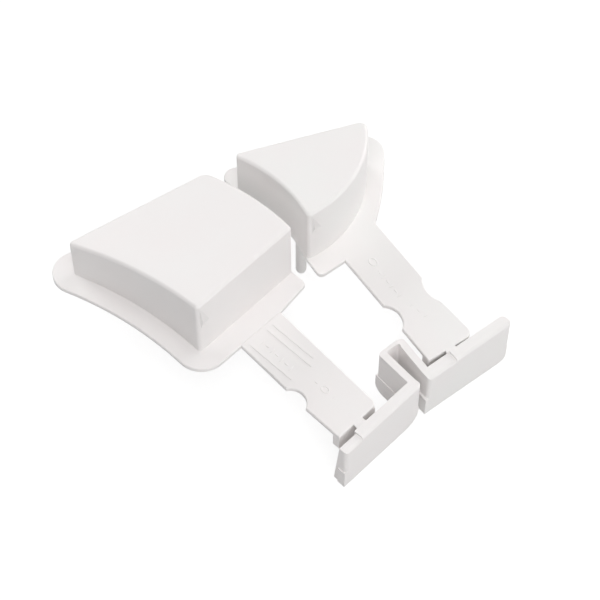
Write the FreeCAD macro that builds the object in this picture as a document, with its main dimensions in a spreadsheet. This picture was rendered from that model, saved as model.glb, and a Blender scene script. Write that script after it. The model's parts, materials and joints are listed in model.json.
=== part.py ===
"""Twin push-key moulding: two hollow key caps on flexible arms, each hinged to its own foot plate.

Millimetres, +Z up. The origin is the middle of foot plate A's sole. X runs along foot plate A towards
foot plate B, and Y runs from the feet towards the key caps.
"""
import FreeCAD, Part
import Sketcher
import math
import os

doc = FreeCAD.newDocument("TwinKeys")
sheet = doc.addObject("Spreadsheet::Sheet", "Sizes")

DRIVING = [
    # the two foot plates; below the parting line each is shifted a little, as the mould halves were
    ("foot_height", 18.0), ("plate_thick", 3.15), ("plate_step", 0.6), ("parting_height", 7.2),
    ("plate_edge", 1.0), ("plate_round", 1.1),
    ("foot_a_left", -14.2), ("foot_a_right", 14.5), ("foot_a_low_left", -14.6), ("foot_a_low_right", 14.1),
    ("foot_a_step_at", -7.95), ("foot_a_heel_round", 5.0), ("foot_a_wedge", 2.6),
    ("foot_b_at_x", 17.0), ("foot_b_at_y", -0.3), ("foot_b_turn", -8.1), ("foot_b_left", 0.45),
    ("foot_b_right", 29.1), ("foot_b_low_left", -0.15), ("foot_b_low_right", 28.6),
    ("foot_b_step_at", 10.1), ("foot_b_heel_round", 2.3), ("foot_b_back", 1.95), ("foot_b_back_round", 1.6),
    # the spring link between them
    ("link_wall", 2.1), ("link_web", 1.1), ("link_gap", 0.4), ("link_root_a", 12.4), ("link_root_b", 17.75),
    ("link_out_a_x", 13.35), ("link_out_a_y", 13.3), ("link_out_b_x", 22.1), ("link_out_b_y", 12.45),
    ("link_split_at", 17.75), ("link_round", 1.2), ("link_under_round", 3.4), ("link_proud", 0.2),
    # the flat arms, their notches, heels and hinge necks
    ("sheet_thick", 1.3), ("edge_round", 0.35), ("slot", 1.45), ("hinge_gap", 0.3), ("hinge_thick", 0.8),
    ("neck_width", 3.2), ("heel_drop", 6.9), ("heel_thick", 2.2), ("heel_round", 1.2),
    ("heel_b_set_back", 0.6), ("arm_a_left", -12.1),
    ("arm_a_width", 14.1), ("arm_a_flare", 2.7), ("arm_a_lean", 1.9), ("notch_a_radius", 4.5),
    ("arm_length", 37.97), ("notch_low", 12.28), ("notch_high", 20.08), ("neck_a_at", -5.15),
    ("arm_b_left", 21.3), ("arm_b_right", 36.0), ("arm_b_end_left", 2.15), ("arm_b_end_right", -0.75),
    ("neck_b_at", 28.2), ("neck_b_length", 0.41), ("notch_b_radius", 5.5),
    ("notch_b_right_radius", 7.8),
    # the flanges
    ("flange_margin", 6.4), ("flange_near_round", 7.6), ("flange_far_round", 6.7),
    ("flange_b_far_round", 3.2), ("flange_b_tip_round", 6.0), ("flange_b_side_radius", 88.0),
    ("flange_small_round", 1.6),
    # cap A
    ("cap_near", 47.3), ("cap_a_left", -19.3), ("cap_a_right", 16.3), ("cap_a_near_skew", 0.5),
    ("cap_a_far_left_x", -26.3), ("cap_a_far_left_y", 91.1), ("cap_a_far_right_x", 15.6),
    ("cap_a_far_right_y", 80.3), ("cap_a_left_radius", 111.0), ("cap_a_right_radius", 82.0),
    ("cap_a_height", 21.2), ("cap_a_slope", 9.5), ("cap_a_far_round", 3.5),
    # cap B
    ("cap_b_left", 21.95), ("cap_b_near", 47.7), ("cap_b_tip_x", 57.9), ("cap_b_tip_y", 60.0),
    ("cap_b_far_x", 25.1), ("cap_b_far_y", 80.3), ("cap_b_left_radius", 51.0),
    ("cap_b_right_radius", 32.8), ("cap_b_height", 20.5), ("cap_b_slope", 10.0), ("cap_b_tip_round", 2.2),
    # both caps
    ("cap_wall", 1.5), ("cap_draft", 0.1), ("cap_corner", 1.1), ("cap_sharp_corner", 1.1),
    ("cap_top_round", 1.0),
    ("rib_thick", 1.2), ("rib_depth", 5.0), ("post_diameter", 3.1), ("post_tip", 1.2),
    ("post_web", 0.25),
    ("post_a_x", -14.7), ("post_b_x", 26.8), ("post_y", 54.75), ("mark_height", 0.16),
]


class Size:
    """A length or angle: its number, and the expression that keeps FreeCAD's value tied to the sheet."""

    def __init__(self, value, text):
        self.value = value
        self.text = text

    def __add__(self, other):
        other = as_size(other)
        return Size(self.value + other.value, f"({self.text} + {other.text})")

    def __sub__(self, other):
        other = as_size(other)
        return Size(self.value - other.value, f"({self.text} - {other.text})")

    def __mul__(self, number):
        return Size(self.value * number, f"({self.text} * {number:g})")

    def __neg__(self):
        return Size(-self.value, f"(0 - {self.text})")


def as_size(thing):
    """A plain number counts as a fixed size."""
    if isinstance(thing, Size):
        return thing
    return Size(float(thing), f"({thing:g})")


def fill_sheet():
    """Writes the driving dimensions and returns each as a Size."""
    sizes = {}
    for row, (name, value) in enumerate(DRIVING, start=1):
        sheet.set(f"A{row}", name)
        sheet.set(f"B{row}", f"{value:g}")
        sheet.setAlias(f"B{row}", name)
        sizes[name] = Size(value, f"Sizes.{name}")
    doc.recompute()
    return sizes


D = fill_sheet()
FLOOR = as_size(0)
DECK = D["foot_height"]                      # the level of the arms' and flanges' top
DECK_UNDER = DECK - D["sheet_thick"]
PLATE_FRONT = D["plate_thick"] * -0.5
PLATE_BACK = D["plate_thick"] * 0.5
ARM_END = PLATE_BACK + D["slot"]             # the arm's end face, across the slot from the plate
ARM_TOP = ARM_END + D["arm_length"]          # where arm A meets its flange
JUNCTION_B = ((D["cap_b_left"] + 7.1, D["cap_near"] - 7.2), (D["cap_b_left"] + 22.1, D["cap_near"] - 4.5))


def new_body(label):
    """An empty body with the node's name."""
    body = doc.addObject("PartDesign::Body", label)
    body.Label = label
    return body


def bind(thing, prop, size):
    """Sets a property to a size and ties it to the sheet."""
    size = as_size(size)
    thing.setExpression(prop, size.text)


def outline(body, name, corners, arcs=None, plane="XY_Plane", lift=None):
    """A closed sketch through corners listed anticlockwise. arcs gives the radius of each side that is
    an arc, by the side's number: positive bows outwards, negative bows inwards."""
    arcs = arcs or {}
    sketch = body.newObject("Sketcher::SketchObject", name)
    support = [part for part in body.Origin.OriginFeatures if part.Role == plane][0]
    sketch.AttachmentSupport = [(support, "")]
    sketch.MapMode = "FlatFace"
    if lift is not None:
        bind(sketch, "AttachmentOffset.Base.z", lift)
    corners = [(as_size(x), as_size(y)) for x, y in corners]
    points = [FreeCAD.Vector(x.value, y.value, 0) for x, y in corners]
    first_ends = []
    last_ends = []
    for side, start in enumerate(points):
        end = points[(side + 1) % len(points)]
        if side in arcs:
            number = sketch.addGeometry(arc_side(start, end, arcs[side].value), False)
            hold(sketch, "Radius", (number,), arcs[side] if arcs[side].value > 0 else -arcs[side])
        else:
            number = sketch.addGeometry(Part.LineSegment(start, end), False)
        backwards = (sketch.getPoint(number, 1) - start).Length > 1e-6
        first_ends.append((number, 2 if backwards else 1))
        last_ends.append((number, 1 if backwards else 2))
    for side, (x, y) in enumerate(corners):
        sketch.addConstraint(Sketcher.Constraint("Coincident", *last_ends[side - 1], *first_ends[side]))
        hold(sketch, "DistanceX", (-1, 1, *first_ends[side]), x)
        hold(sketch, "DistanceY", (-1, 1, *first_ends[side]), y)
    return sketch


def hold(sketch, kind, elements, size):
    """Adds a dimension to a sketch and ties it to the sheet."""
    number = sketch.addConstraint(Sketcher.Constraint(kind, *elements, size.value))
    sketch.setExpression(f"Constraints[{number}]", size.text)


def arc_side(start, end, radius):
    """The shorter arc from start to end, bowing to the right of the way there when radius is positive."""
    chord = end - start
    rise = abs(radius) - math.sqrt(radius ** 2 - (chord.Length / 2) ** 2)
    right = FreeCAD.Vector(chord.y, -chord.x, 0).normalize()
    middle = (start + end) * 0.5 + right * math.copysign(rise, radius)
    return Part.Arc(start, middle, end)


def rounded(corners, radii):
    """The corners and arcs of an outline, with some corners rounded: radii gives each one's radius by
    the corner's number. The other sides stay straight."""
    points, arcs = [], {}
    for number, (x, y) in enumerate(corners):
        if number not in radii:
            points.append((x, y))
            continue
        around = (corners[number], corners[number - 1], corners[(number + 1) % len(corners)])
        here, before, after = [FreeCAD.Vector(as_size(a).value, as_size(b).value, 0) for a, b in around]
        back, on = (before - here).normalize(), (after - here).normalize()
        reach = radii[number].value / math.tan(back.getAngle(on) / 2)
        arcs[len(points)] = radii[number]
        points.append((as_size(x) + back.x * reach, as_size(y) + back.y * reach))
        points.append((as_size(x) + on.x * reach, as_size(y) + on.y * reach))
    return points, arcs


def pad(body, sketch, length, taper=None, downwards=False):
    """Pads a sketch by a length tied to the sheet."""
    feature = body.newObject("PartDesign::Pad", sketch.Name + "Pad")
    feature.Profile = sketch
    bind(feature, "Length", length)
    feature.Reversed = downwards
    if taper is not None:
        bind(feature, "TaperAngle", taper)
    body.Tip = feature
    doc.recompute()
    return feature


def cut(body, sketch, depth=None, both_ways=False, downwards=True):
    """Pockets a sketch, to a depth tied to the sheet or right through, and checks that it cut."""
    before = body.Shape.Volume
    feature = body.newObject("PartDesign::Pocket", sketch.Name + "Pocket")
    feature.Profile = sketch
    feature.Reversed = not downwards
    feature.Midplane = both_ways
    if depth is None:
        feature.Type = "ThroughAll"
    else:
        bind(feature, "Length", depth)
    body.Tip = feature
    doc.recompute()
    if body.Shape.Volume > before - 1e-3:
        raise RuntimeError(f"{feature.Name} cut nothing")
    return feature


def round_edges(body, radius, wanted):
    """Fillets the body's edges for which wanted(edge) is true."""
    names = [f"Edge{n}" for n, edge in enumerate(body.Shape.Edges, start=1) if wanted(edge)]
    if not names:
        raise RuntimeError(f"{body.Label} has no such edge to round")
    base = body.Tip
    feature = body.newObject("PartDesign::Fillet", body.Label + "Round")
    feature.Base = (base, names)
    bind(feature, "Radius", radius)
    body.Tip = feature
    doc.recompute()
    return feature


def is_upright(edge):
    """True for an edge that runs up and down, or nearly so, as draft leaves it."""
    low, high = edge.Vertexes[0].Point, edge.Vertexes[-1].Point
    run = high - low
    return run.Length > 1e-6 and abs(run.z) > 0.9 * run.Length


def upright_near(*places):
    """A test for the upright edges that pass within 0.8 mm of one of some (x, y) places."""
    spots = [(as_size(x).value, as_size(y).value) for x, y in places]

    def wanted(edge):
        middle = edge.BoundBox.Center
        return is_upright(edge) and any(math.hypot(middle.x - x, middle.y - y) < 0.8 for x, y in spots)

    return wanted


def level_at(height, skip=None):
    """A test for the edges that lie wholly at one height, except those on a line left sharp for a
    neighbour: skip is a pair of (x, y) places at the ends of that line."""
    level = as_size(height).value

    def wanted(edge):
        box = edge.BoundBox
        if abs(box.ZMin - level) > 1e-4 or abs(box.ZMax - level) > 1e-4:
            return False
        return skip is None or distance_to_line(edge.BoundBox.Center, skip) > 0.05

    return wanted


def distance_to_line(point, ends):
    """How far a point is, in plan, from the line through two (x, y) places."""
    (ax, ay), (bx, by) = [(as_size(x).value, as_size(y).value) for x, y in ends]
    length = math.hypot(bx - ax, by - ay)
    return abs((bx - ax) * (point.y - ay) - (by - ay) * (point.x - ax)) / length


# ---------------------------------------------------------------- the feet and their spring link


def foot_plate(label, low_ends, ends, step_at, backs, heel_round, back_round=None):
    """A tall plate in its own frame, X along it. low_ends and ends are its left and right ends below and
    above the parting line, and backs its back faces left and right of the step. The top is lower left
    of the step, its front edge is rounded, and above the parting line so are the front uprights."""
    body = new_body(label)
    corners = plate_corners(low_ends, step_at, backs)
    pad(body, outline(body, label + "_lower", corners), D["parting_height"])
    right_end = low_ends[1].value - 1e-4
    round_edges(body, heel_round,
                lambda edge: edge.BoundBox.ZMax < 1e-4 and edge.BoundBox.XMin > right_end)
    radii = {0: D["plate_round"], 1: D["plate_round"]}
    if back_round is not None:
        radii[2] = back_round
    pad(body, outline(body, label + "_upper", *rounded(plate_corners(ends, step_at, backs), radii),
                      lift=D["parting_height"]), DECK - D["parting_height"])
    lowered = [(low_ends[0] - 1, PLATE_FRONT - 1), (step_at, PLATE_FRONT - 1), (step_at, PLATE_BACK + 1),
               (low_ends[0] - 1, PLATE_BACK + 1)]
    cut(body, outline(body, label + "_top_step", lowered, lift=DECK), D["plate_step"])
    round_along_x(body, label + "_front_right", (PLATE_FRONT, DECK), (1, -1), D["plate_edge"],
                  step_at, downwards=False)
    round_along_x(body, label + "_front_left", (PLATE_FRONT, DECK - D["plate_step"]), (1, -1),
                  D["plate_edge"], step_at)
    return body


def plate_corners(ends, step_at, backs):
    """A plate's plan, anticlockwise from its front left corner."""
    left, right = ends
    corners = [(left, PLATE_FRONT), (right, PLATE_FRONT), (right, backs[1])]
    if backs[0].value < backs[1].value:
        corners += [(step_at, backs[1]), (step_at, backs[0])]
    return corners + [(left, backs[0])]


def round_along_x(body, name, at, into, radius, start_x=None, **way):
    """Rounds an edge that runs along X at (y, z), by cutting away what is outside an arc. into gives the
    directions along Y and Z that lead into the piece. The cut starts at start_x, if given, and goes
    towards -X, or towards +X when downwards is False; otherwise it goes both ways."""
    (y, z), (in_y, in_z) = at, into
    clear = [(y + radius * in_y, z - in_z), (y - in_y, z - in_z), (y - in_y, z + radius * in_z)]
    corners = [(y, z + radius * in_z), (y + radius * in_y, z), *clear]
    profile = outline(body, name, corners, {0: -radius}, plane="YZ_Plane", lift=start_x)
    cut(body, profile, both_ways=start_x is None, **way)


def build_link():
    """The spring link: a wall from each foot and a thin web behind, split in the middle, where it
    flexes. Wall A stands a little proud on the left below the parting line."""
    wall, half_gap = D["link_wall"], D["link_gap"] * 0.5
    out_a, out_b = (D["link_out_a_x"], D["link_out_a_y"]), (D["link_out_b_x"], D["link_out_b_y"])
    fall = (out_b[1].value - out_a[1].value) / (out_b[0].value - out_a[0].value)

    def back_y(x):
        return out_a[1] + (as_size(x).value - out_a[0].value) * fall

    root = D["link_root_a"]
    plan_a = [(root, PLATE_BACK), (root + wall, PLATE_BACK), (out_a[0] + wall, back_y(out_a[0] + wall)),
              out_a]
    proud = D["link_proud"]
    low_a = [(root - proud, PLATE_BACK), *plan_a[1:3], (out_a[0] - proud, back_y(out_a[0] - proud))]
    wall_a = new_body("link_wall_a")
    pad(wall_a, outline(wall_a, "link_wall_a_lower", low_a), D["parting_height"])
    round_along_x(wall_a, "link_wall_a_under", (out_a[1] + proud * 0.1, FLOOR), (-1, 1),
                  D["link_under_round"])
    pad(wall_a, outline(wall_a, "link_wall_a_upper", *rounded(plan_a, {3: D["link_round"]}),
                        lift=D["parting_height"]), DECK - D["parting_height"])

    root = D["link_root_b"]
    turn = math.radians(D["foot_b_turn"].value)

    def plate_b_back(x):
        ahead = (x.value - D["foot_b_at_x"].value) * math.tan(turn)
        return D["foot_b_at_y"] + D["foot_b_back"] * (1 / math.cos(turn)) + ahead

    plan_b = [(root, plate_b_back(root)), (root + wall, plate_b_back(root + wall)), out_b,
              (out_b[0] - wall, back_y(out_b[0] - wall))]
    wall_b = new_body("link_wall_b")
    pad(wall_b, outline(wall_b, "link_wall_b_plan", *rounded(plan_b, {2: D["link_round"]})),
        DECK - D["plate_step"])
    round_along_x(wall_b, "link_wall_b_under", (plan_b[3][1], FLOOR), (-1, 1), D["link_under_round"])

    def lean(plan, inner, outer):
        """How far a wall's inner face runs along X over the web's thickness."""
        (x1, y1), (x2, y2) = [[as_size(v).value for v in plan[n]] for n in (inner, outer)]
        return (x2 - x1) / (y2 - y1) * D["link_web"].value

    webs = []
    spans = {"link_web_a": (out_a[0] + wall, D["link_split_at"] - half_gap, lean(plan_a, 1, 2), 0.0),
             "link_web_b": (D["link_split_at"] + half_gap, out_b[0] - wall, 0.0, lean(plan_b, 0, 3))}
    for label, (left, right, lean_left, lean_right) in spans.items():
        web = new_body(label)
        plan = [(left - lean_left, back_y(left) - D["link_web"]),
                (right - lean_right, back_y(right) - D["link_web"]),
                (right, back_y(right)), (left, back_y(left))]
        pad(web, outline(web, label + "_plan", plan, lift=D["link_under_round"]),
            DECK - D["link_under_round"])
        webs.append(web)
    return [wall_a, *webs, wall_b]


def build_feet():
    """Both plates; B's is turned about Z and set beside A's. The back of A's thin part leans out
    towards the sole."""
    thin_back = PLATE_BACK - D["plate_step"]
    plate_a = foot_plate("foot_a_plate", (D["foot_a_low_left"], D["foot_a_low_right"]),
                         (D["foot_a_left"], D["foot_a_right"]), D["foot_a_step_at"],
                         (thin_back, PLATE_BACK), D["foot_a_heel_round"])
    side = [(thin_back - 0.2, FLOOR), (D["foot_a_wedge"], FLOOR), (thin_back, DECK - D["plate_step"]),
            (thin_back - 0.2, DECK - D["plate_step"])]
    pad(plate_a, outline(plate_a, "foot_a_wedge", side, plane="YZ_Plane", lift=D["foot_a_left"]),
        D["foot_a_step_at"] - D["foot_a_left"])
    plate_b = foot_plate("foot_b_plate", (D["foot_b_low_left"], D["foot_b_low_right"]),
                         (D["foot_b_left"], D["foot_b_right"]), D["foot_b_step_at"],
                         (D["foot_b_back"], D["foot_b_back"]), D["foot_b_heel_round"],
                         D["foot_b_back_round"])
    bind(plate_b, "Placement.Base.x", D["foot_b_at_x"])
    bind(plate_b, "Placement.Base.y", D["foot_b_at_y"])
    bind(plate_b, "Placement.Rotation.Angle", D["foot_b_turn"])
    return [plate_a, plate_b]


# ---------------------------------------------------------------- the flat sheet: arms and flanges


def flat_sheet(label, corners, arcs, junction, rounds):
    """A piece of the flat sheet with its top at deck level. The edge along the junction stays sharp,
    where the neighbouring piece carries on; rounds lists (radius, places) for the corners."""
    body = new_body(label)
    pad(body, outline(body, label + "_plan", corners, arcs, lift=DECK_UNDER), D["sheet_thick"])
    for radius, places in rounds:
        round_edges(body, radius, upright_near(*places))
    round_edges(body, D["edge_round"], level_at(DECK, skip=junction))
    return body


def build_arm_a():
    """Arm A: one notch, in its left edge."""
    left, right = D["arm_a_left"], D["arm_a_left"] + D["arm_a_width"]
    top_left, top_right = left + D["arm_a_lean"], right + D["arm_a_flare"]
    corners = [(left, ARM_END), (right, ARM_END), (top_right, ARM_TOP), (top_left, ARM_TOP),
               (left + 0.85, ARM_END + D["notch_high"]), (left + 0.2, ARM_END + D["notch_low"])]
    junction = ((top_right, ARM_TOP), (top_left, ARM_TOP))
    return flat_sheet("key_a_arm", corners, {4: -D["notch_a_radius"]}, junction,
                      [(D["flange_small_round"], [(right, ARM_END)])])


def build_arm_b():
    """Arm B: a notch in each edge, the right one shallower."""
    corners = [(D["arm_b_left"], D["arm_b_end_left"]), (D["arm_b_right"], D["arm_b_end_right"]),
               (D["arm_b_right"] + 1.5, D["arm_b_end_right"] + 13.2),
               (D["arm_b_right"] + 3.7, D["arm_b_end_right"] + 22.0),
               JUNCTION_B[1], JUNCTION_B[0],
               (D["arm_b_left"] + 4.3, D["arm_b_end_left"] + 20.4),
               (D["arm_b_left"] + 2.4, D["arm_b_end_left"] + 11.8)]
    return flat_sheet("key_b_arm", corners, {2: -D["notch_b_right_radius"], 6: -D["notch_b_radius"]},
                      JUNCTION_B, [(D["flange_small_round"] * 1.4,
                                    [(D["arm_b_right"], D["arm_b_end_right"])])])


def build_flange_a():
    """Flange A: it borders cap A on the near, left and far sides, and is flush with it on the right."""
    margin = D["flange_margin"]
    near = ARM_TOP
    near_left = (D["cap_a_left"] - margin + 0.2, near)
    near_right = (D["cap_a_right"], near + 1.4)
    far_right = (D["cap_a_far_right_x"] - 0.8, D["cap_a_far_right_y"] + margin + 0.4)
    far_left = (D["cap_a_far_left_x"] - margin - 3.5, D["cap_a_far_left_y"] + margin + 2.3)
    arm_left = D["arm_a_left"] + D["arm_a_lean"]
    arm_right = D["arm_a_left"] + D["arm_a_width"] + D["arm_a_flare"]
    corners = [near_left, (arm_left, near), (arm_right, near), near_right,
               cap_a_corners()[1], cap_a_corners()[2], far_right, far_left]
    arcs = {4: D["cap_a_right_radius"], 7: -(D["cap_a_left_radius"] - margin)}
    body = flat_sheet("key_a_flange", corners, arcs, ((arm_left, near), (arm_right, near)),
                      [(D["flange_near_round"], [near_left]), (D["flange_far_round"], [far_left]),
                       (D["flange_small_round"], [near_right, far_right])])
    hollow = D["cap_wall"] + 0.2
    cap = cap_a_corners()
    opening = [(cap[0][0] + hollow, cap[0][1] + hollow), (cap[1][0] - hollow, cap[1][1] + hollow),
               (cap[2][0] - hollow, cap[2][1] - hollow), (cap[3][0] + hollow + 0.5, cap[3][1] - hollow)]
    cut(body, outline(body, "key_a_flange_window", opening,
                      {1: D["cap_a_right_radius"] - hollow, 3: -(D["cap_a_left_radius"] + hollow)},
                      lift=DECK), D["sheet_thick"])
    return body


def build_flange_b():
    """Flange B: it borders cap B on the near, right and far sides, and is flush with it on the left."""
    near_left = (D["cap_b_left"] - 1.6, D["cap_near"] - 6.1)
    tip = (D["cap_b_tip_x"] + 11.2, D["cap_b_tip_y"] + 3.7)
    far_left = (D["cap_b_far_x"] - 0.7, D["cap_b_far_y"] + 7.3)
    corners = [near_left, JUNCTION_B[0], JUNCTION_B[1], tip, far_left, cap_b_corners()[2],
               cap_b_corners()[0]]
    arcs = {2: D["flange_b_side_radius"], 5: -D["cap_b_left_radius"]}
    body = flat_sheet("key_b_flange", corners, arcs, JUNCTION_B,
                      [(D["flange_small_round"], [near_left]),
                       (D["flange_b_tip_round"], [tip]), (D["flange_b_far_round"], [far_left])])
    hollow = D["cap_wall"] + 0.2
    cap = cap_b_corners()
    opening = [(cap[0][0] + hollow + 0.6, cap[0][1] + hollow), (cap[1][0] - hollow * 1.9, cap[1][1]),
               (cap[2][0] + hollow, cap[2][1] - hollow * 1.5)]
    cut(body, outline(body, "key_b_flange_window", opening,
                      {0: D["cap_b_right_radius"] - hollow, 2: -(D["cap_b_left_radius"] + hollow)},
                      lift=DECK), D["sheet_thick"])
    return body


# ---------------------------------------------------------------- the caps and what hangs in them


def cap_a_corners():
    """The base corners of cap A, anticlockwise from the near left one."""
    return [(D["cap_a_left"], D["cap_near"]), (D["cap_a_right"], D["cap_near"] + D["cap_a_near_skew"]),
            (D["cap_a_far_right_x"], D["cap_a_far_right_y"]),
            (D["cap_a_far_left_x"], D["cap_a_far_left_y"])]


def cap_b_corners():
    """The base corners of cap B: near left, tip, far left."""
    return [(D["cap_b_left"], D["cap_b_near"]), (D["cap_b_tip_x"], D["cap_b_tip_y"]),
            (D["cap_b_far_x"], D["cap_b_far_y"])]


def cap(key, corners, arcs, rounds):
    """A hollow cap, open below, with drafted sides and a top that slopes down away from the arm."""
    label = f"key_{key}_cap"
    height = D[f"cap_{key}_height"]
    body = new_body(label)
    pad(body, outline(body, label + "_base", corners, arcs, lift=DECK), height + 2, taper=-D["cap_draft"])
    cut(body, outline(body, label + "_slope", above_slope(key, FLOOR), plane="YZ_Plane"), both_ways=True)
    solid = body.Tip
    shell = body.newObject("PartDesign::Thickness", label + "_hollow")
    base_face = [f"Face{n}" for n, face in enumerate(solid.Shape.Faces, start=1)
                 if face.BoundBox.ZMax < DECK.value + 1e-4]
    shell.Base = (solid, base_face)
    bind(shell, "Value", D["cap_wall"])
    shell.Reversed = True
    shell.Join = 1
    body.Tip = shell
    doc.recompute()
    for radius, places in rounds:
        round_edges(body, radius, upright_near(*places))
    rise = math.tan(math.radians(D[f"cap_{key}_slope"].value))
    crown = DECK.value + height.value + D["cap_near"].value * rise

    def on_top(edge):
        return all(abs(crown - rise * p.y - p.z) < 1e-3 for p in edge.discretize(5))

    round_edges(body, D["cap_top_round"], on_top)
    return body


def above_slope(key, drop, at_y=FLOOR):
    """Corners, in a plane across X, of the space above a key's sloping top, or above a line that lies
    drop lower. at_y is where the piece's own frame sits along Y."""
    fall = Size(math.tan(math.radians(D[f"cap_{key}_slope"].value)), f"tan(Sizes.cap_{key}_slope * 1 deg)")
    top = DECK + D[f"cap_{key}_height"] - drop
    near_y, far_y = D["cap_near"] - 10, D["cap_near"] + 60
    return [(near_y - at_y, top + fall * 10), (far_y - at_y, top - fall * 60), (far_y - at_y, top + 30),
            (near_y - at_y, top + 30)]


def roof_drop(key):
    """How far below the outer top the roof's underside is, measured straight down."""
    slope = math.radians(D[f"cap_{key}_slope"].value)
    return D["cap_wall"] * (1 / math.cos(slope))


def rib(label, key, at_x, far_y):
    """A stiffening rib along Y under the roof, clear of the end walls by a little."""
    body = new_body(label)
    near_y = D["cap_near"] + D["cap_wall"] + 0.9
    fall = math.tan(math.radians(D[f"cap_{key}_slope"].value))
    under = DECK + D[f"cap_{key}_height"] - roof_drop(key)
    near_z = under - (near_y.value - D["cap_near"].value) * fall
    far_z = under - (far_y.value - D["cap_near"].value) * fall
    side = [(near_y, near_z - D["rib_depth"]), (far_y, far_z - D["rib_depth"]), (far_y, far_z),
            (near_y, near_z)]
    profile = outline(body, label + "_side", side, plane="YZ_Plane", lift=at_x)
    pad(body, profile, D["rib_thick"])
    return body


def post(label, key, at_x):
    """The actuator post: a round pin from the flange's underside to the sole's level with a rounded
    tip, under a flat web that carries it from the cap's roof."""
    body = new_body(label)
    radius = D["post_diameter"] * 0.5
    tip = D["post_tip"]
    side = outline(body, label + "_pin", [(FLOOR, FLOOR), (radius - tip * 0.6, FLOOR), (radius, tip * 1.6),
                                          (radius, DECK_UNDER), (FLOOR, DECK_UNDER)], {1: tip * 2.2},
                   plane="XZ_Plane")
    pin = body.newObject("PartDesign::Revolution", label + "_turned")
    pin.Profile = side
    pin.ReferenceAxis = (side, ["V_Axis"])
    pin.Angle = 360
    body.Tip = pin
    doc.recompute()
    web_from = D["post_web"]
    web = [(web_from, -radius), (radius, -radius), (radius, radius), (web_from, radius)]
    pad(body, outline(body, label + "_web", web, lift=DECK_UNDER), D[f"cap_{key}_height"])
    cut(body, outline(body, label + "_top", above_slope(key, roof_drop(key), D["post_y"]),
                      plane="YZ_Plane"), both_ways=True)
    bind(body, "Placement.Base.x", at_x)
    bind(body, "Placement.Base.y", D["post_y"])
    return body


# ---------------------------------------------------------------- hinges, heels and raised lines


def heel(label, left, right, end_left, end_right):
    """The rib across the underside of an arm's end, with its lower left corner rounded."""
    body = new_body(label)
    thick = D["heel_thick"]
    corners = [(left, end_left), (right, end_right), (right, end_right + thick), (left, end_left + thick)]
    pad(body, outline(body, label + "_plan", corners, lift=DECK_UNDER), D["heel_drop"] - D["sheet_thick"],
        downwards=True)
    low, left_x = (DECK - D["heel_drop"]).value + 1e-3, as_size(left).value + 1e-3
    round_edges(body, D["heel_round"], lambda edge: edge.BoundBox.ZMax < low and edge.BoundBox.XMax < left_x)
    return body


def neck(label, length, turn, at_x, at_y):
    """The thin hinge strip, from the arm's end back towards the foot plate."""
    body = new_body(label)
    half = D["neck_width"] * 0.5
    corners = [(-half, -length), (half, -length), (half, FLOOR), (-half, FLOOR)]
    pad(body, outline(body, label + "_plan", corners), D["hinge_thick"])
    bind(body, "Placement.Base.x", at_x)
    bind(body, "Placement.Base.y", at_y)
    bind(body, "Placement.Base.z", DECK - D["hinge_thick"])
    body.Placement.Rotation = FreeCAD.Rotation(FreeCAD.Vector(0, 0, 1), turn)
    return body


def raised_lines(label, lines):
    """Long raised lines on an arm's face, as one group; each is (x, low y, high y, width)."""
    boxes = []
    for number, (x, low, high, width) in enumerate(lines, start=1):
        box = doc.addObject("Part::Box", f"{label}_{number}")
        bind(box, "Length", width)
        bind(box, "Width", as_size(high) - low)
        bind(box, "Height", D["mark_height"])
        bind(box, "Placement.Base.x", x)
        bind(box, "Placement.Base.y", low)
        bind(box, "Placement.Base.z", DECK)
        boxes.append(box)
    group = doc.addObject("Part::Compound", label)
    group.Label = label
    group.Links = boxes
    return group


# ---------------------------------------------------------------- the two keys


def build_key_a():
    """Key A: the four-sided cap."""
    corners = cap_a_corners()
    arcs = {1: D["cap_a_right_radius"], 3: -D["cap_a_left_radius"]}
    shell = cap("a", corners, arcs, [(D["cap_corner"], corners[:2]), (D["cap_a_far_round"], corners[2:3]),
                                     (D["cap_sharp_corner"], corners[3:])])
    left = D["arm_a_left"]
    lines_x = left + D["arm_a_width"] * 0.72
    return [
        shell, build_flange_a(), build_arm_a(),
        heel("key_a_heel", left, left + D["arm_a_width"] - 0.5, ARM_END, ARM_END),
        neck("key_a_neck", D["slot"] - D["hinge_gap"], 0, D["neck_a_at"], ARM_END),
        post("key_a_post", "a", D["post_a_x"]),
        rib("key_a_rib_left", "a", as_size(-7), D["cap_a_far_right_y"] + 3.0),
        rib("key_a_rib_right", "a", as_size(6), D["cap_a_far_right_y"] - 0.2),
        raised_lines("key_a_lines", [(lines_x, ARM_END + 20, ARM_TOP - 1.5, as_size(0.4)),
                                     (lines_x + 2.2, ARM_END + 21.5, ARM_TOP - 1.5, as_size(0.4)),
                                     (left + 3.6, ARM_END + 21, ARM_TOP - 1.5, as_size(0.4))]),
    ]


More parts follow.
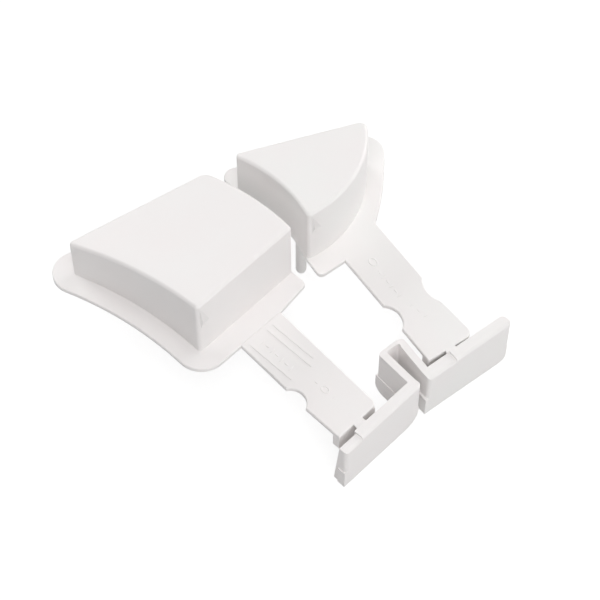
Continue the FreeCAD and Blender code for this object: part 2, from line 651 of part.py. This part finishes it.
def build_key_b():
    """Key B: the three-sided cap, on an arm that leans away from key A."""
    corners = cap_b_corners()
    arcs = {0: D["cap_b_right_radius"], 2: -D["cap_b_left_radius"]}
    shell = cap("b", corners, arcs, [(D["cap_corner"], corners[:1]), (D["cap_b_tip_round"], corners[1:2]),
                                     (D["cap_sharp_corner"], corners[2:])])
    left, right = D["arm_b_left"], D["arm_b_right"]
    slope = (D["arm_b_end_right"].value - D["arm_b_end_left"].value) / (right.value - left.value)
    end_y = [D["arm_b_end_left"] + slope * (x - left.value) for x in (left.value + 0.6, right.value - 1.6)]
    return [
        shell, build_flange_b(), build_arm_b(),
        heel("key_b_heel", left + 0.6, right - 1.6, end_y[0] + D["heel_b_set_back"],
             end_y[1] + D["heel_b_set_back"]),
        neck("key_b_neck", D["neck_b_length"], math.degrees(math.atan(slope)), D["neck_b_at"],
             D["arm_b_end_left"] + slope * (D["neck_b_at"].value - left.value)),
        post("key_b_post", "b", D["post_b_x"]),
        rib("key_b_rib", "b", as_size(37), D["cap_b_far_y"] - 10.2),
    ]


def main():
    """Builds every piece, checks them all, and writes one STEP file for each."""
    pieces = [*build_feet(), *build_link(), *build_key_a(), *build_key_b()]
    doc.recompute()
    for thing in doc.Objects:
        if "Invalid" in thing.State or "Error" in thing.State:
            raise RuntimeError(f"{thing.Label} failed: {thing.State}")
    for piece in pieces:
        if piece.Shape.isNull() or not piece.Shape.isValid():
            raise RuntimeError(f"{piece.Label} has no valid shape")
    os.makedirs("parts", exist_ok=True)
    for piece in pieces:
        piece.Shape.exportStep(f"parts/{piece.Label}.step")
        box = piece.Shape.BoundBox
        print(f"{piece.Label:18s} {piece.Shape.Volume:9.1f} mm3  solids {len(piece.Shape.Solids)}  "
              f"x {box.XMin:.2f}..{box.XMax:.2f}  y {box.YMin:.2f}..{box.YMax:.2f}  "
              f"z {box.ZMin:.2f}..{box.ZMax:.2f}")


main()
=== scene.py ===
"""Looks for the twin push-key moulding: white plastic on the CAD frame, seen from above its near left."""
import json
import math

import bmesh
import bpy
from mathutils import Matrix, Vector


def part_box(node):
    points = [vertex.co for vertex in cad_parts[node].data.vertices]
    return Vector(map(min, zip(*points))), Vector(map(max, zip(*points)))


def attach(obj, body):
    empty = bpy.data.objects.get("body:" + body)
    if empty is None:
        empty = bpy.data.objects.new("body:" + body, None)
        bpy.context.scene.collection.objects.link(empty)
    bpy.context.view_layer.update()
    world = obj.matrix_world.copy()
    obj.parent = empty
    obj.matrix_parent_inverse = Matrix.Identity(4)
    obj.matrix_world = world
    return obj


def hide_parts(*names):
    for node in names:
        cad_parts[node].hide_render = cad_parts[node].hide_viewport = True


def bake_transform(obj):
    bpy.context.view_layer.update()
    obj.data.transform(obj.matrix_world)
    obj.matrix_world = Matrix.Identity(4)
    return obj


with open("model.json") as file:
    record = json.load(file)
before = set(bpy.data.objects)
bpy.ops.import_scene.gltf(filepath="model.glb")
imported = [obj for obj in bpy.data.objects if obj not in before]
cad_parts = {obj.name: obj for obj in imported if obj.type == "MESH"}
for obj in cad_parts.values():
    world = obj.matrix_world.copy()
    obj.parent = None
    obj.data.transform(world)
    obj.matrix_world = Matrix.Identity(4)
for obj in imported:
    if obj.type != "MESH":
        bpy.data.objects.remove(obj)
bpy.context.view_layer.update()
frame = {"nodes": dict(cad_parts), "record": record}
NODES = frame["nodes"]
MM = 0.001
SHARP_ANGLE = 40
CORNER_STEPS = 3

KEY_A = ("key_a_flange", "key_a_arm", "key_a_heel", "key_a_post", "key_a_rib_left",
         "key_a_rib_right", "key_a_lines")
KEY_B = ("key_b_flange", "key_b_arm", "key_b_heel", "key_b_post", "key_b_rib")
FEET = ("foot_a_plate", "link_wall_a", "foot_b_plate", "link_wall_b")


# ---------------------------------------------------------------- materials


def link(tree, source, out, target, into):
    """Joins one node's named output to another's named input."""
    tree.links.new(source.outputs[out], target.inputs[into])


def noise(tree, coords, scale, detail, rough):
    """A Noise Texture in the object's own coordinates."""
    node = tree.nodes.new("ShaderNodeTexNoise")
    node.inputs["Scale"].default_value = scale
    node.inputs["Detail"].default_value = detail
    node.inputs["Roughness"].default_value = rough
    link(tree, coords, "Object", node, "Vector")
    return node


def spread(tree, source, out, low, high, to_low, to_high):
    """A Map Range node on one output, from low..high to to_low..to_high."""
    node = tree.nodes.new("ShaderNodeMapRange")
    node.inputs["From Min"].default_value = low
    node.inputs["From Max"].default_value = high
    node.inputs["To Min"].default_value = to_low
    node.inputs["To Max"].default_value = to_high
    link(tree, source, out, node, "Value")
    return node


def bump(tree, height, out, strength, distance, under=None):
    """A Bump node, on top of another one if that is given."""
    node = tree.nodes.new("ShaderNodeBump")
    node.inputs["Strength"].default_value = strength
    node.inputs["Distance"].default_value = distance
    link(tree, height, out, node, "Height")
    if under is not None:
        link(tree, under, "Normal", node, "Normal")
    return node


def maths(tree, kind, first, second):
    """A Math node on two outputs or numbers."""
    node = tree.nodes.new("ShaderNodeMath")
    node.operation = kind
    for place, value in enumerate((first, second)):
        if isinstance(value, (int, float)):
            node.inputs[place].default_value = value
        else:
            tree.links.new(value, node.inputs[place])
    return node.outputs["Value"]


CLOUD_SCALE, WAVE_SCALE, GRAIN_SCALE = 55.0, 130.0, 5200.0
BUMP_STRENGTH, WAVE_HEIGHT, GRAIN_HEIGHT = 0.35, 0.00012, 0.00001
GLOSS_SWING = 0.05
PLASTIC_IOR = 1.5
SINK_DEPTH = 0.8 * MM
SINK_RISE = 1.2 * MM
SINK_BESIDE = 1.0 * MM
SINK_FOOT = 0.2
SINK_FAR_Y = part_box("key_a_cap")[0][1] + 1.7 * MM
CORNER_BAND = 1.6 * MM


def sink_mark(tree, coords, start_x, low_z, wide, tall):
    """How deep a sink mark is: it starts beside an upright corner, is deepest low down, and fades out
    along X, upwards over its whole height, and quickly downwards."""
    split = tree.nodes.new("ShaderNodeSeparateXYZ")
    link(tree, coords, "Object", split, "Vector")
    ahead = maths(tree, "SUBTRACT", split.outputs["X"], start_x)
    above = maths(tree, "SUBTRACT", split.outputs["Z"], low_z)
    upwards = maths(tree, "DIVIDE", above, tall)
    downwards = maths(tree, "DIVIDE", above, -SINK_FOOT * tall)
    height = maths(tree, "MAXIMUM", upwards, downwards)
    reach = maths(tree, "ADD", maths(tree, "DIVIDE", ahead, wide), height)
    fade = maths(tree, "SUBTRACT", 1.0, reach)
    fall = maths(tree, "MINIMUM", fade, maths(tree, "DIVIDE", ahead, SINK_RISE))
    near = maths(tree, "LESS_THAN", split.outputs["Y"], SINK_FAR_Y)
    return maths(tree, "MULTIPLY", maths(tree, "MAXIMUM", fall, 0.0), near)


def moulded_white(name, pale, warm, rough, sink=None):
    """Satin white plastic: faint clouding of the colour, a fine grain, slow waves in the surface, and,
    if given, a sink mark."""
    mat = bpy.data.materials.new(name)
    mat.use_nodes = True
    tree = mat.node_tree
    shader = tree.nodes["Principled BSDF"]
    coords = tree.nodes.new("ShaderNodeTexCoord")
    cloud = noise(tree, coords, CLOUD_SCALE, 3.0, 0.55)
    mix = tree.nodes.new("ShaderNodeMix")
    mix.data_type = "RGBA"
    mix.inputs[6].default_value = (*pale, 1)
    mix.inputs[7].default_value = (*warm, 1)
    share = spread(tree, cloud, "Fac", 0.35, 0.65, 0.0, 1.0)
    link(tree, share, "Result", mix, "Factor")
    tree.links.new(mix.outputs[2], shader.inputs["Base Color"])
    grain = noise(tree, coords, GRAIN_SCALE, 2.0, 0.6)
    gloss = spread(tree, grain, "Fac", 0.3, 0.7, rough - GLOSS_SWING, rough + GLOSS_SWING)
    link(tree, gloss, "Result", shader, "Roughness")
    waves = noise(tree, coords, WAVE_SCALE, 1.0, 0.4)
    slow = bump(tree, waves, "Fac", BUMP_STRENGTH, WAVE_HEIGHT)
    fine = bump(tree, grain, "Fac", BUMP_STRENGTH, GRAIN_HEIGHT, under=slow)
    last = fine
    if sink is not None:
        last = tree.nodes.new("ShaderNodeBump")
        last.invert = True
        last.inputs["Strength"].default_value = 1.0
        last.inputs["Distance"].default_value = SINK_DEPTH
        tree.links.new(sink_mark(tree, coords, *sink), last.inputs["Height"])
        link(tree, fine, "Normal", last, "Normal")
    link(tree, last, "Normal", shader, "Normal")
    shader.inputs["IOR"].default_value = PLASTIC_IOR
    return mat


def sink_place(cap, below, wide, tall):
    """Where a cap's sink mark is: beside its near left upright, its deepest place this far below the top."""
    return cap_corner_x(cap) + SINK_BESIDE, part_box(cap)[1][2] - below * MM, wide * MM, tall * MM


def cap_corner_x(cap):
    """The X of the cap's near left upright: the lowest X among the points of its nearest face."""
    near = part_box(cap)[0][1] + CORNER_BAND
    return min(point.co.x for point in NODES[cap].data.vertices if point.co.y < near)


TONE_A = ((0.897, 0.865, 0.857), (0.895, 0.873, 0.865), 0.36)
TONE_B = ((0.897, 0.868, 0.860), (0.892, 0.882, 0.868), 0.36)
WHITE_A = moulded_white("white_abs_a", *TONE_A)
WHITE_B = moulded_white("white_abs_b", *TONE_B)
CAP_A_WHITE = moulded_white("white_abs_cap_a", *TONE_A, sink=sink_place("key_a_cap", 9.0, 3.2, 8.0))
CAP_B_WHITE = moulded_white("white_abs_cap_b", *TONE_B, sink=sink_place("key_b_cap", 8.0, 2.8, 6.2))


def dress(obj, mat):
    """Gives an object one material for all its slots."""
    if not obj.material_slots:
        obj.data.materials.append(mat)
    for place in obj.material_slots:
        place.material = mat


for node_name in KEY_A + FEET[:2]:
    dress(NODES[node_name], WHITE_A)
for node_name in KEY_B + FEET[2:]:
    dress(NODES[node_name], WHITE_B)
dress(NODES["key_a_cap"], CAP_A_WHITE)
dress(NODES["key_b_cap"], CAP_B_WHITE)


# ---------------------------------------------------------------- hinges and the link's web, and raised marks


def new_piece(name, shape, mat):
    """An object from a bmesh, with smooth faces and the moulding's material."""
    bmesh.ops.recalc_face_normals(shape, faces=shape.faces)
    mesh = bpy.data.meshes.new(name)
    shape.to_mesh(mesh)
    shape.free()
    for face in mesh.polygons:
        face.use_smooth = True
    mesh.set_sharp_from_angle(angle=math.radians(SHARP_ANGLE))
    obj = bpy.data.objects.new(name, mesh)
    bpy.context.scene.collection.objects.link(obj)
    dress(obj, mat)
    return obj


def loft(rings, closed=False):
    """A bmesh skin over rings of points, with its ends closed unless the rings go round."""
    shape = bmesh.new()
    rows = [[shape.verts.new(point) for point in ring] for ring in rings]
    count = len(rows[0])
    pairs = list(zip(rows, rows[1:]))
    if closed:
        pairs.append((rows[-1], rows[0]))
    for row, after in pairs:
        for at in range(count):
            on = (at + 1) % count
            shape.faces.new((row[at], row[on], after[on], after[at]))
    if not closed:
        shape.faces.new(list(reversed(rows[0])))
        shape.faces.new(rows[-1])
    return shape


def rounded_box(left, right, low, high, edge):
    """The points of an upright rectangle with rounded corners, anticlockwise."""
    points = []
    for x, z, first in ((left + edge, low + edge, 180), (right - edge, low + edge, 270),
                        (right - edge, high - edge, 0), (left + edge, high - edge, 90)):
        for step in range(CORNER_STEPS + 1):
            turn = math.radians(first + 90 * step / CORNER_STEPS)
            points.append((x + edge * math.cos(turn), z + edge * math.sin(turn)))
    return points


HINGE_STATIONS = 17
HINGE_HALF_WIDTH, HINGE_FLARE = 1.6 * MM, 0.3 * MM
HINGE_MID, HINGE_END = 0.55 * MM, 1.05 * MM
HINGE_GAP = 0.3 * MM
HINGE_DIP = 0.03 * MM
HINGE_EDGE = 0.15 * MM
INTO_ARM = 0.35 * MM
BELOW_TOP = 0.003 * MM
WEB_STATIONS = 33
WEB_FILLET, WEB_EDGE = 0.9 * MM, 0.2 * MM


def bent_hinge(name, node, joint_name, length, into_plate, mat):
    """The thin hinge between a foot plate and an arm: wide and thick where it leaves them, thin between."""
    joint = next(j for j in frame["record"]["behaviour"]["joints"] if j["name"] == joint_name)
    along = Vector(joint["axis"]).normalized()
    across = Vector((-along.y, along.x, 0))
    low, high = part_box(node)
    middle = Vector(((low[0] + high[0]) / 2, (low[1] + high[1]) / 2, high[2]))
    start = middle - across * (length / 2 + HINGE_GAP + into_plate)
    end = middle + across * (length / 2 + INTO_ARM)
    rings = []
    for station in range(HINGE_STATIONS):
        t = station / (HINGE_STATIONS - 1)
        bow = (2 * t - 1) ** 2
        centre = start.lerp(end, t)
        top = centre.z - HINGE_DIP * (1 - bow) - BELOW_TOP
        thick = HINGE_MID + (HINGE_END - HINGE_MID) * bow
        half = HINGE_HALF_WIDTH + HINGE_FLARE * bow ** 2
        profile = rounded_box(-half, half, top - thick, top, HINGE_EDGE)
        rings.append([Vector((centre.x, centre.y, z)) + along * x for x, z in profile])
    piece = new_piece(name, loft(rings), mat)
    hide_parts(node)
    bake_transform(piece)


def corner_fill(gap):
    """How much thicker the web is at this distance from a wall, for a round inner corner."""
    if gap >= WEB_FILLET:
        return 0.0
    return WEB_FILLET - math.sqrt(max(0.0, WEB_FILLET ** 2 - (WEB_FILLET - gap) ** 2))


def bent_web():
    """The web of the spring link in one piece, with rounded inner corners where it meets the walls."""
    def plan(node):
        """The places (x, y) of a node's points, each once, from left to right."""
        places = {(round(v.co.x, 7), round(v.co.y, 7)) for v in NODES[node].data.vertices}
        return sorted(places)

    left_in, left_out = sorted(plan("link_web_a")[:2], key=lambda place: place[1])
    right_in, right_out = sorted(plan("link_web_b")[-2:], key=lambda place: place[1])
    low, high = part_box("link_web_a")
    wide = right_out[0] - left_out[0]
    rings = []
    for station in range(WEB_STATIONS):
        t = (1 - math.cos(math.pi * station / (WEB_STATIONS - 1))) / 2
        outer = Vector(left_out).lerp(Vector(right_out), t)
        inner = Vector(left_in).lerp(Vector(right_in), t)
        gap = min(t, 1 - t) * wide
        thicker = corner_fill(gap)
        inwards = (inner - outer).normalized()
        profile = rounded_box(0.0, (inner - outer).length + thicker, low[2], high[2], WEB_EDGE)
        rings.append([(*(outer + inwards * reach), z) for reach, z in profile])
    piece = new_piece("link_bend", loft(rings), WHITE_A)
    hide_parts("link_web_a", "link_web_b")
    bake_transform(piece)


def join(whole, part):
    """Adds one bmesh to another."""
    mesh = bpy.data.meshes.new("part")
    part.to_mesh(mesh)
    part.free()
    whole.from_mesh(mesh)
    bpy.data.meshes.remove(mesh)


# A ridge's outline: the share of its width sideways, and of its height upwards.
RIDGE_OUTLINE = ((-0.5, -0.4), (-0.42, 0.55), (-0.2, 0.92), (0.2, 0.92), (0.42, 0.55), (0.5, -0.4))
RIDGE_TIP, RIDGE_WIDENS = 0.45, 0.3
MARK_WIDTH, MARK_HEIGHT = 0.45 * MM, 0.13 * MM
BAR_STEPS, RING_STEPS = 6, 28


def ridge(path, width, height, level, closed):
    """A low half-round ridge along a path of (x, y) places."""
    rings = []
    for at, place in enumerate(path):
        before = path[at - 1] if at or closed else place
        after = path[(at + 1) % len(path)] if at + 1 < len(path) or closed else place
        way = (after - before).normalized()
        side = Vector((-way.y, way.x))
        from_end = min(at, len(path) - 1 - at)
        fade = 1.0 if closed else min(1.0, RIDGE_TIP + from_end * RIDGE_WIDENS)
        ring = []
        for share, lift in RIDGE_OUTLINE:
            flat = place + side * (share * width * fade)
            ring.append((flat.x, flat.y, level + lift * height))
        rings.append(ring)
    return loft(rings, closed)


def raised_marks(name, body, node, mat, bars, rings):
    """Low generic marks on an arm: bars are (x, y, length, turn), rings (x, y, half width, half length,
    turn), in millimetres and degrees."""
    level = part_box(node)[1][2]
    whole = bmesh.new()
    for x, y, length, turn in bars:
        way = Vector((math.cos(math.radians(turn)), math.sin(math.radians(turn))))
        path = [(Vector((x, y)) + way * (length * (step / BAR_STEPS - 0.5))) * MM
                for step in range(BAR_STEPS + 1)]
        join(whole, ridge(path, MARK_WIDTH, MARK_HEIGHT, level, False))
    for x, y, wide, tall, turn in rings:
        path = []
        for step in range(RING_STEPS):
            angle = 2 * math.pi * step / RING_STEPS
            local = Vector((wide * math.cos(angle), tall * math.sin(angle)))
            local.rotate(Matrix.Rotation(math.radians(turn), 2))
            path.append((Vector((x, y)) + local) * MM)
        join(whole, ridge(path, MARK_WIDTH, MARK_HEIGHT, level, True))
    piece = new_piece(name, whole, mat)
    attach(piece, body)


bent_hinge("key_a_hinge", "key_a_neck", "key_a_press", 1.15 * MM, 0.0, WHITE_A)
bent_hinge("key_b_hinge", "key_b_neck", "key_b_press", 0.41 * MM, 0.12 * MM, WHITE_B)
bent_web()
raised_marks("key_a_marks", "key_a", "key_a_arm", WHITE_A,
             bars=[(-6.0 + 0.11 * step, 26.5 + 1.85 * step, (1.7, 1.2)[step % 2], (0, 90)[step % 2])
                   for step in range(7)] + [(-4.3, 12.4, 1.2, 0), (-4.4, 18.8, 1.0, 90)],
             rings=[(-4.3, 15.6, 0.85, 1.2, 0)])
raised_marks("key_b_marks", "key_b", "key_b_arm", WHITE_B,
             bars=[(32.7 - 0.34 * step, 30.6 - 1.8 * step, (1.2, 1.6)[step % 2], (75, -10)[step % 2])
                   for step in range(6)]
             + [(30.9, 17.2, 1.2, -10), (31.0, 14.6, 1.1, 80), (31.2, 12.2, 1.2, -10)],
             rings=[(34.0, 34.2, 0.95, 1.4, -8)])


# ---------------------------------------------------------------- stage, light and camera


# Azimuth and elevation in degrees, energy in watts. The azimuths are every 45 degrees. The energies, and
# BOUNCE_GLOW, weren't set by hand: they come from a least-squares fit of renders lit by one light each.
SOFT_LIGHTS = ((0, 25, 2.6), (0, 90, 1.75), (135, 25, 0.65), (180, 25, 3.9), (180, 55, 0.7), (270, 25, 0.4),
               (315, 25, 0.3), (315, 55, 4.0), (45, 25, 1.25), (90, 25, 4.2))
LIT_POINT = Vector((0.01, 0.045, 0.02))
LIGHT_SIDE = 0.6
PLANE_HALF = 3.0
FLOOR_DROP, FLOOR_ALBEDO, FLOOR_GLOW = 0.00005, 0.28, 0.80
BOUNCE_DROP, BOUNCE_ALBEDO, BOUNCE_GLOW = 0.0001, 0.5, 0.226
CAMERA_AZIMUTH, CAMERA_ELEVATION, CAMERA_AWAY = -45.7, 57.0, 0.527
CAMERA_AIM = Vector((0.01114, 0.0399, 0.018))


def towards(azimuth, elevation):
    """The unit vector from the object to a light or camera; azimuth 0 is from the -Y side, 90 from +X."""
    turn, lift = math.radians(azimuth), math.radians(elevation)
    return Vector((math.sin(turn) * math.cos(lift), -math.cos(turn) * math.cos(lift), math.sin(lift)))


def soft_light(azimuth, elevation, energy):
    """A square soft box one metre from the object, in watts."""
    data = bpy.data.lights.new("soft_box", "AREA")
    data.shape = "SQUARE"
    data.size = LIGHT_SIDE
    data.energy = energy
    box = bpy.data.objects.new("soft_box", data)
    bpy.context.scene.collection.objects.link(box)
    back = towards(azimuth, elevation)
    box.location = LIT_POINT + back
    box.rotation_mode = "QUATERNION"
    box.rotation_quaternion = (-back).to_track_quat("-Z", "Y")


def plane(name, drop, albedo, glow):
    """A wide pale plane a little below the soles, with an even glow that lifts it towards white."""
    mesh = bpy.data.meshes.new(name)
    shape = bmesh.new()
    bmesh.ops.create_grid(shape, x_segments=1, y_segments=1, size=PLANE_HALF)
    shape.to_mesh(mesh)
    shape.free()
    obj = bpy.data.objects.new(name, mesh)
    obj.location.z = -drop
    bpy.context.scene.collection.objects.link(obj)
    mat = bpy.data.materials.new(name)
    mat.use_nodes = True
    shader = mat.node_tree.nodes["Principled BSDF"]
    shader.inputs["Base Color"].default_value = (albedo, albedo, albedo, 1)
    shader.inputs["Roughness"].default_value = 0.9
    shader.inputs["Specular IOR Level"].default_value = 0.0
    shader.inputs["Emission Color"].default_value = (1, 1, 1, 1)
    shader.inputs["Emission Strength"].default_value = glow
    obj.data.materials.append(mat)
    return obj


def make_floor():
    """The floor that is seen is pushed to white, and the one that lights the object is plain paper."""
    seen = plane("floor", FLOOR_DROP, FLOOR_ALBEDO, FLOOR_GLOW)
    seen.visible_diffuse = False
    seen.visible_glossy = False
    seen.visible_shadow = False
    bounce = plane("floor_bounce", BOUNCE_DROP, BOUNCE_ALBEDO, BOUNCE_GLOW)
    bounce.visible_camera = False


def make_camera():
    """A long lens from above the near left."""
    data = bpy.data.cameras.new("camera")
    data.lens = 117.0
    data.sensor_width = 36.0
    data.clip_start, data.clip_end = 0.01, 20
    camera = bpy.data.objects.new("camera", data)
    bpy.context.scene.collection.objects.link(camera)
    back = towards(CAMERA_AZIMUTH, CAMERA_ELEVATION)
    camera.location = CAMERA_AIM + back * CAMERA_AWAY
    camera.rotation_mode = "QUATERNION"
    camera.rotation_quaternion = (-back).to_track_quat("-Z", "Y")
    bpy.context.scene.camera = camera


make_floor()
make_camera()
for azimuth, elevation, energy in SOFT_LIGHTS:
    soft_light(azimuth, elevation, energy)

bpy.context.scene.view_settings.view_transform = "Standard"
